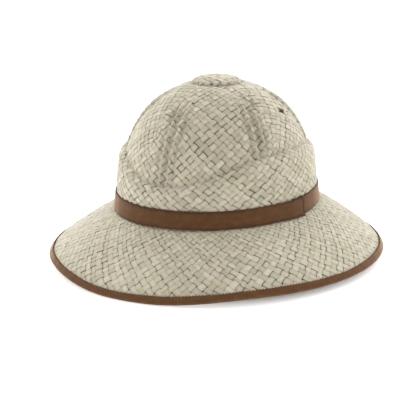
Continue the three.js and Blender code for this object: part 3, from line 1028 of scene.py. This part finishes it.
def straw_material(colours):
    """Flat straw strips: long fibres, tones that differ from strip to strip, painted shade in the gaps
    and painted shade deep in the folds.
    """
    shader = Shader(bpy.data.materials.new("woven_straw"))
    place = shader.attribute_vector("strip_place")
    tone = shader.attribute("strip_tone")
    hue = shader.attribute("strip_hue")
    gap = shader.attribute("strip_gap")
    fibres = shader.noise(shader.scaled(place, (180, 4200, 900)), 1.0, 3.0)
    streaks = shader.noise(shader.scaled(place, (60, 900, 900)), 1.0, 1.0)
    cloud = shader.noise(shader.node("ShaderNodeTexCoord").outputs["Object"], 28.0, 2.0)
    fold = shader.attribute("fold_depth")
    depth = (tone + (fibres - 0.5) * 0.5 + (streaks - 0.5) * 0.45 + (cloud - 0.5) * 0.35).clipped()
    base = shader.blend(colours.straw_dark, colours.straw_light, depth)
    base = shader.blend(base, colours.straw_green, (hue * -0.7 + (cloud - 0.5) * 0.5).clipped())
    base = shader.blend(base, colours.straw_pink, (hue * 0.7 - (cloud - 0.5) * 0.5).clipped())
    # Painted shade deep in the folds, pleat grooves, pits and creases
    base = shader.blend(base, colours.straw_fold_shade, (fold * 0.24).clipped())
    # Painted shade in the gaps beside and between the strips
    base = shader.blend(base, colours.straw_gap_shade, gap.clipped())
    return shader.finish(
        {
            "Base Color": base,
            "Roughness": 0.46 + fibres * 0.25,
            "Specular IOR Level": 0.35,
            "Sheen Weight": 0.45,
            "Sheen Roughness": 0.3,
            "Sheen Tint": (1, 0.94, 0.93, 1),
        },
        fibres, 0.12 * MM, 0.5,
    )


# Colour of the shaded lines on the cloth against the cloth itself
EDGE_DARKNESS = 0.22
LOOP_SHADE = 1.3
# Radius round the hat's middle where the floor's own light begins, and how fast it grows
DARK_RADIUS = 0.13
GLOW_STEEPNESS = 50.0


def fabric_material(name, base_colour, worn_colour):
    """Woven ribbon: fine cross ribs, a little rubbed along the edges, and painted shade along the lines
    that its shade attribute marks.
    """
    shader = Shader(bpy.data.materials.new(name))
    place = shader.attribute_vector("ribbon_place")
    edge = shader.attribute("ribbon_edge")
    ribs = shader.noise(shader.scaled(place, (2600, 260, 1)), 1.0, 1.0)
    threads = shader.noise(shader.scaled(place, (500, 3000, 1)), 1.0, 1.0)
    cloud = shader.noise(shader.scaled(place, (110, 240, 1)), 1.0, 3.0)
    fuzz = shader.noise(shader.scaled(place, (900, 900, 1)), 1.0, 2.0)
    worn = (edge * 0.45 * (fuzz + 0.4) + (cloud - 0.45) * 2.2 + (ribs - 0.5) * 0.4).clipped()
    base = shader.blend(base_colour, worn_colour, worn)
    dark = tuple(EDGE_DARKNESS * channel for channel in base_colour)
    shade = shader.attribute("ribbon_shade")
    base = shader.blend(base, dark, (shade * (0.5 + fuzz * 0.6)).clipped())
    return shader.finish(
        {
            "Base Color": base,
            "Roughness": 0.72 + threads * 0.2,
            "Specular IOR Level": 0.25,
            "Sheen Weight": 1.0,
            "Sheen Roughness": 0.3,
            "Sheen Tint": (1, 0.72, 0.5, 1),
        },
        ribs * 0.6 + threads * 0.4, 0.15 * MM, 0.55,
    )


def floor_material(colours):
    """A pale floor that gives off a little light of its own, but not under the hat."""
    shader = Shader(bpy.data.materials.new("studio_floor"))
    place = shader.node("ShaderNodeTexCoord").outputs["Object"]
    cloud = shader.noise(place, 3.0, 2.0)
    middle = shader.node("ShaderNodeVectorMath", {"operation": "LENGTH"}, {0: place})
    past_dark = (Value(shader, middle.outputs["Value"]) - DARK_RADIUS) * GLOW_STEEPNESS
    glow = shader.blend((0.0, 0.0, 0.0), (1.0, 1.0, 1.0), past_dark.clipped())
    return shader.finish(
        {
            "Base Color": opaque(colours.floor),
            "Roughness": 0.9,
            "Emission Color": glow,
            "Emission Strength": 0.6,
        },
        cloud, 0.1 * MM, 0.1,
    )


# Operators

def hat_settings(context):
    scene = context.scene
    return tuple(getattr(scene, key) for key in GROUPS if key != "straw_stage")


def hat_form(context):
    crown, brim, weave, trim, _ = hat_settings(context)
    return HatForm(crown, brim, weave, trim.band_height)


class STRAWHAT_OT_weave(bpy.types.Operator):
    """Weave the crown and the brim of straw strips"""

    bl_idname = "strawhat.weave"
    bl_label = "Weave Straw"

    def execute(self, context):
        crown, _, weave, _, colours = hat_settings(context)
        form = hat_form(context)
        draw = np.random.default_rng(weave.seed)
        material = straw_material(colours)
        mat = CrownMat(form, weave)
        roughen(mat, draw)
        open_cell = open_gap(form, mat, crown)
        radius = np.hypot(*mat.flat[mat.cells].mean(axis=1).T)
        chosen = radius < form.radius_under_band(MEETING)
        chosen[open_cell] = False
        shapes = (crown_strip, crown_lining)
        woven_piece("straw_crown", form, mat, np.flatnonzero(chosen), shapes, material)
        mat = BrimMat(form, weave)
        roughen(mat, draw)
        radius = np.hypot(*mat.flat[mat.cells].mean(axis=1).T)
        chosen = radius < form.radius_of("edge") - MM
        shapes = (brim_strip, brim_lining)
        woven_piece("straw_brim", form, mat, np.flatnonzero(chosen), shapes, material)
        return {"FINISHED"}


def ripple(azimuth, waves, draw):
    """A slow wave round the hat, from a few whole waves with drawn phases."""
    total = np.zeros_like(azimuth)
    for turns, height in waves:
        total += height * np.sin(turns * azimuth + draw.uniform(0, TURN))
    return total


def there_and_back(values):
    """Values from the low to the high edge of the band outside, then back inside."""
    return np.concatenate((values, values[:, ::-1]), axis=1)


class STRAWHAT_OT_band(bpy.types.Operator):
    """Wrap the ribbon round the crown, its upper end lapped over its first"""

    bl_idname = "strawhat.band"
    bl_label = "Wrap Band"

    steps = 2000
    stations = (0, 0.02, 0.06, 0.2, 0.4, 0.6, 0.8, 0.94, 0.98, 1)
    end_bow = {"up": (0, 0.12, 0.5, 0.85, 1), "out": (3.2, 0.9, 1.7, 0.9, 0)}
    # The upper end of the band: how long it is, and how it curls and stands off
    end_share = 0.03
    curl = 0.7 * MM
    pillow = 0.12 * MM
    end_lift = 0.25 * MM
    corner_lift = 0.8 * MM
    deepest_wave = 0.15 * MM
    # Where the painted shade lines along the edges and at the upper end lie, and the painted shadow
    # that the upper end casts beside the join
    edge_line = (0.03, 0.12)
    worn_edge = (0.7, 0.95)
    end_line = (1.2 * MM, 0.5 * MM)
    join_line = (3.4 * MM, 4.6 * MM)
    join_back = 2 * MM
    join_reach = 30 * MM

    def execute(self, context):
        crown, _, weave, trim, colours = hat_settings(context)
        form = hat_form(context)
        draw = np.random.default_rng(weave.seed + 1)
        start = trim.join - trim.lap / crown.half_length
        end = trim.join + TURN
        part = np.linspace(0, 1, self.steps + 1)[:, None]
        up = np.array(self.stations)[None, :]
        bow = np.interp(up, self.end_bow["up"], self.end_bow["out"]) * MM / crown.half_length
        near_end = smoothstep(part, 1 - self.end_share, 1)
        azimuth = mix(start, end, part) + bow * near_end
        way = (azimuth - start) * crown.half_length
        before_lap = (end - azimuth) * crown.half_length - trim.lap
        layer = trim.band_thickness + trim.seat
        rise = layer * (1 - smoothstep(before_lap, 0, trim.climb))
        loops = trim.picot_height * (0.5 + 0.5 * np.sin(way * TURN / trim.picot))
        uneven = 0.75 + 0.5 * ripple(azimuth, ((97, 0.5), (61, 0.5)), draw)
        loops = loops * uneven * np.ones_like(up)
        sway = ripple(azimuth, ((3, 0.25), (7, 0.15), (17, 0.1)), draw) * MM
        curl = self.curl * near_end * (1 - smoothstep(up, 0, 0.12))
        top_edge = (loops - 0.5 * trim.picot_height + 0.5 * sway) * smoothstep(up, 0.9, 1)
        low_edge = (loops - 0.5 * trim.picot_height - sway) * (1 - smoothstep(up, 0, 0.1)) + curl
        height = -trim.band_height * (1 - up) + top_edge - low_edge
        width = mix(crown.half_width + crown.flare, crown.half_width, up)
        pillow = self.pillow * (1 - (2 * up - 1) ** 8)
        waviness = ripple(azimuth, ((5, 0.12), (11, 0.08), (29, 0.05)), draw) * MM
        corner = self.corner_lift * near_end ** 4 * (1 - smoothstep(up, 0, 0.2))
        loose = self.end_lift * near_end + corner
        clear = trim.seat + rise + loose + np.maximum(waviness, -self.deepest_wave)
        outer_width = width + clear + trim.band_thickness + pillow - self.pillow
        outer = form.crown_point(azimuth, outer_width, height)
        inner = form.crown_point(azimuth, width + clear, height)
        points = np.concatenate((outer, inner[:, ::-1]), axis=1)
        faces = grid_quads(*points.shape[:2], close_columns=True)[:, ::-1].tolist()
        size = points.shape[1]
        half = size // 2
        last = self.steps * size
        for k in range(half - 1):
            first = (k, k + 1, size - 2 - k, size - 1 - k)
            faces.append(first)
            faces.append(tuple(last + point for point in reversed(first)))
        both = there_and_back(up) * np.ones_like(part)
        ways = there_and_back(way)
        loop_shade = there_and_back(loops) / trim.picot_height
        # Painted shade along the edges and at the upper end, and a painted shadow beside the join
        edge_line = 1 - smoothstep(np.minimum(both, 1 - both), *self.edge_line)
        edge_line = edge_line * np.clip(LOOP_SHADE - loop_shade, 0, 1)
        way_end = ways.max(axis=0)
        end_line = smoothstep(ways, way_end - self.end_line[0], way_end - self.end_line[1])
        past_end = ways - trim.lap - there_and_back(bow) * crown.half_length
        at_join = (past_end > -self.join_back) * (ways < self.join_reach)
        join_line = at_join * (1 - smoothstep(past_end, *self.join_line))
        shade = np.maximum(np.maximum(edge_line, end_line), join_line)
        place = np.stack((ways, both * trim.band_height, 0 * both), axis=-1)
        attributes = {
            "ribbon_place": place.reshape(-1, 3),
            "ribbon_edge": smoothstep(np.abs(2 * both - 1), *self.worn_edge).ravel(),
            "ribbon_shade": shade.ravel(),
        }
        material = fabric_material("band_ribbon", colours.ribbon, colours.ribbon_worn)
        piece = make_piece("ribbon_band", points, faces, material, attributes)
        piece.data.set_sharp_from_angle(angle=math.radians(40))
        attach(piece, BODY)
        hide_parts("hat_band")
        return {"FINISHED"}


class STRAWHAT_OT_binding(bpy.types.Operator):
    """Fold the tape over the edge of the brim"""

    bl_idname = "strawhat.binding"
    bl_label = "Bind Brim"

    steps = 1900
    bend_steps = 9
    stations = ((1.0, 0.55), (0.97, 1.0), (0.8, 1.08), (0.5, 1.1), (0.2, 1.05))
    bulge = 0.35 * MM
    # Painted shade along the tape's inner edges
    edge_line = (0.78, 0.98)
    worn_edge = (0.75, 0.95)

    def execute(self, context):
        _, _, weave, trim, colours = hat_settings(context)
        form = hat_form(context)
        draw = np.random.default_rng(weave.seed + 2)
        azimuth = np.arange(self.steps) * TURN / self.steps
        edge, normal, _ = form.brim_at(azimuth, 0)
        outward = edge - form.brim_at(azimuth, 1.5 * MM)[0]
        outward /= np.linalg.norm(outward, axis=-1, keepdims=True)
        thick = trim.tape_thickness
        clear = trim.seat
        way = np.cumsum(np.linalg.norm(np.diff(edge, axis=0, append=edge[:1]), axis=-1))
        loops = trim.picot_height * (0.5 + 0.5 * np.sin(way * TURN / trim.picot))
        sway = ripple(azimuth, ((4, 0.3), (9, 0.2), (23, 0.12)), draw) * MM
        reach = trim.tape_width + loops + sway
        pucker = ripple(azimuth, ((41, 0.05), (67, 0.05), (113, 0.04)), draw)[:, None] * MM
        rows = []
        spread = []
        for part, proud in self.stations:
            place, up, _ = form.brim_at(azimuth, reach * part)
            rows.append(place + up * (clear + thick * proud + pucker))
            spread.append(part)
        radius = weave.wall / 2 + clear + thick
        middle = edge - normal * weave.wall / 2
        for turn in np.linspace(0, math.pi, self.bend_steps):
            out = math.sin(turn) * (radius - weave.wall / 2 + self.bulge)
            rows.append(middle + outward * (out + 0.5 * pucker) + normal * math.cos(turn) * radius)
            spread.append(0.0)
        for part, proud in reversed(self.stations):
            place, up, _ = form.brim_at(azimuth, reach * part)
            rows.append(place - up * (weave.wall + clear + thick * proud + pucker))
            spread.append(part)
        place, up, _ = form.brim_at(azimuth, reach)
        inside, side, _ = form.brim_at(azimuth, 0.15 * MM)
        rows.append(place - up * (weave.wall + clear))
        rows.append(inside - side * (weave.wall + clear))
        rows.append(edge + outward * clear - normal * weave.wall)
        rows.append(edge + outward * clear)
        rows.append(inside + side * clear)
        rows.append(place + up * clear)
        spread += [1.0, 0.0, 0.0, 0.0, 0.0, 1.0]
        points = np.stack(rows, axis=1)
        points[..., 2] = np.maximum(points[..., 2], 0)
        faces = grid_quads(*points.shape[:2], close_rows=True, close_columns=True)
        spread = np.array(spread)[None, :] * np.ones((self.steps, 1))
        steps = np.linalg.norm(np.diff(points, axis=1, prepend=points[:, :1]), axis=-1)
        across = np.cumsum(steps, axis=1)
        edge_line = smoothstep(spread, *self.edge_line)
        ways = way[:, None] * np.ones_like(across)
        attributes = {
            "ribbon_place": np.stack((ways, across, 0 * across), axis=-1).reshape(-1, 3),
            "ribbon_edge": smoothstep(spread, *self.worn_edge).ravel(),
            "ribbon_shade": (edge_line * (LOOP_SHADE - loops / trim.picot_height)[:, None]).ravel(),
        }
        material = fabric_material("binding_tape", colours.tape, colours.tape_worn)
        piece = make_piece("folded_tape", points, faces.tolist(), material, attributes)
        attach(piece, BODY)
        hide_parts("brim_binding")
        return {"FINISHED"}


def direction(azimuth, elevation):
    """The way out from the hat at an azimuth and an elevation, 1 long."""
    return Vector((
        math.sin(azimuth) * math.cos(elevation),
        -math.cos(azimuth) * math.cos(elevation),
        math.sin(elevation),
    ))


def add_lamp(name, azimuth, elevation, distance, size, watts, target):
    """A square area lamp that faces a target."""
    lamp = bpy.data.lights.new(name, "AREA")
    lamp.shape = "SQUARE"
    lamp.size = size
    lamp.energy = watts
    holder = bpy.data.objects.new(name, lamp)
    away = direction(azimuth, elevation)
    holder.location = target + away * distance
    holder.rotation_euler = away.to_track_quat("Z", "Y").to_euler()
    bpy.context.scene.collection.objects.link(holder)


class STRAWHAT_OT_stage(bpy.types.Operator):
    """Set the floor, the lamps and the camera"""

    bl_idname = "strawhat.stage"
    bl_label = "Set Stage"

    lamp_distance = 1.1
    lamp_size = 1.0
    side_turn = math.radians(100)
    side_elevation = math.radians(35)
    top_elevation = math.radians(65)

    def execute(self, context):
        stage = context.scene.straw_stage
        colours = context.scene.straw_colours
        target = Vector((0, stage.aim_back, stage.aim_height))
        self.lay_floor(stage, colours)
        self.hang_lamps(context, stage, target)
        self.place_camera(context, stage, target)
        return {"FINISHED"}

    def lay_floor(self, stage, colours):
        half = stage.floor_size / 2
        grid = np.linspace(-half, half, 9)
        x, y = np.meshgrid(grid, grid)
        points = np.stack((x, y, np.zeros_like(x)), axis=-1)
        faces = grid_quads(*points.shape[:2]).tolist()
        floor = make_piece("studio_floor", points, faces, floor_material(colours), {})

    def hang_lamps(self, context, stage, target):
        shader = Shader(bpy.data.worlds.new("studio_sky"))
        outward = shader.node("ShaderNodeTexCoord").outputs["Generated"]
        away = (-math.sin(stage.azimuth), math.cos(stage.azimuth), 0)
        settings = {"operation": "DOT_PRODUCT"}
        behind = shader.node("ShaderNodeVectorMath", settings, {0: outward, 1: away})
        strength = Value(shader, behind.outputs["Value"]) * stage.backlight + stage.sky
        inputs = {"Color": (1, 1, 1, 1), "Strength": strength}
        back = shader.node("ShaderNodeBackground", {}, inputs)
        shader.node("ShaderNodeOutputWorld", {}, {"Surface": back.outputs["Background"]})
        context.scene.world = shader.owner
        lamps = (
            ("left_lamp", -self.side_turn, self.side_elevation, stage.side_lamp),
            ("right_lamp", self.side_turn, self.side_elevation, stage.side_lamp),
            ("top_lamp", math.pi, self.top_elevation, stage.top_lamp),
        )
        for name, turn, elevation, watts in lamps:
            add_lamp(name, stage.azimuth + turn, elevation, self.lamp_distance,
                     self.lamp_size, watts, target)

    def place_camera(self, context, stage, target):
        back = direction(stage.azimuth, stage.elevation)
        right = Vector((math.cos(stage.azimuth), math.sin(stage.azimuth), 0))
        up = back.cross(right)
        turned_right = right * math.cos(stage.roll) - up * math.sin(stage.roll)
        turned_up = right * math.sin(stage.roll) + up * math.cos(stage.roll)
        lens = bpy.data.cameras.new("photo_camera")
        lens.sensor_width = 36
        lens.lens = stage.lens
        lens.shift_x = stage.shift_right
        lens.shift_y = stage.shift_up
        lens.clip_end = 50
        camera = bpy.data.objects.new("photo_camera", lens)
        axes = Matrix((turned_right, turned_up, back)).transposed().to_4x4()
        camera.matrix_world = Matrix.Translation(target + back * stage.distance) @ axes
        context.scene.collection.objects.link(camera)
        context.scene.camera = camera
        context.scene.view_settings.view_transform = "Standard"


# Panel and registration

class STRAWHAT_PT_panel(bpy.types.Panel):
    """Sizes, colours and steps of the straw hat"""

    bl_idname = "STRAWHAT_PT_panel"
    bl_label = "Straw Hat"
    bl_space_type = "VIEW_3D"
    bl_region_type = "UI"
    bl_category = "Straw Hat"

    def draw(self, context):
        layout = self.layout
        for operator in OPERATORS:
            layout.operator(operator.bl_idname)
        for key, group in GROUPS.items():
            box = layout.box()
            box.label(text=key.replace("_", " ").capitalize())
            for name in group.__annotations__:
                box.prop(getattr(context.scene, key), name)


GROUPS = {
    "straw_crown": STRAWHAT_PG_crown,
    "straw_brim": STRAWHAT_PG_brim,
    "straw_weave": STRAWHAT_PG_weave,
    "straw_trim": STRAWHAT_PG_trim,
    "straw_colours": STRAWHAT_PG_colours,
    "straw_stage": STRAWHAT_PG_stage,
}
OPERATORS = (STRAWHAT_OT_weave, STRAWHAT_OT_band, STRAWHAT_OT_binding, STRAWHAT_OT_stage)
CLASSES = (*GROUPS.values(), *OPERATORS, STRAWHAT_PT_panel)


def register():
    for cls in CLASSES:
        bpy.utils.register_class(cls)
    for key, group in GROUPS.items():
        setattr(bpy.types.Scene, key, PointerProperty(type=group))


def unregister():
    for key in GROUPS:
        delattr(bpy.types.Scene, key)
    for cls in reversed(CLASSES):
        bpy.utils.unregister_class(cls)


def main():
    register()
    bpy.ops.strawhat.weave()
    bpy.ops.strawhat.band()
    bpy.ops.strawhat.binding()
    bpy.ops.strawhat.stage()


if __name__ == "__main__":
    main()
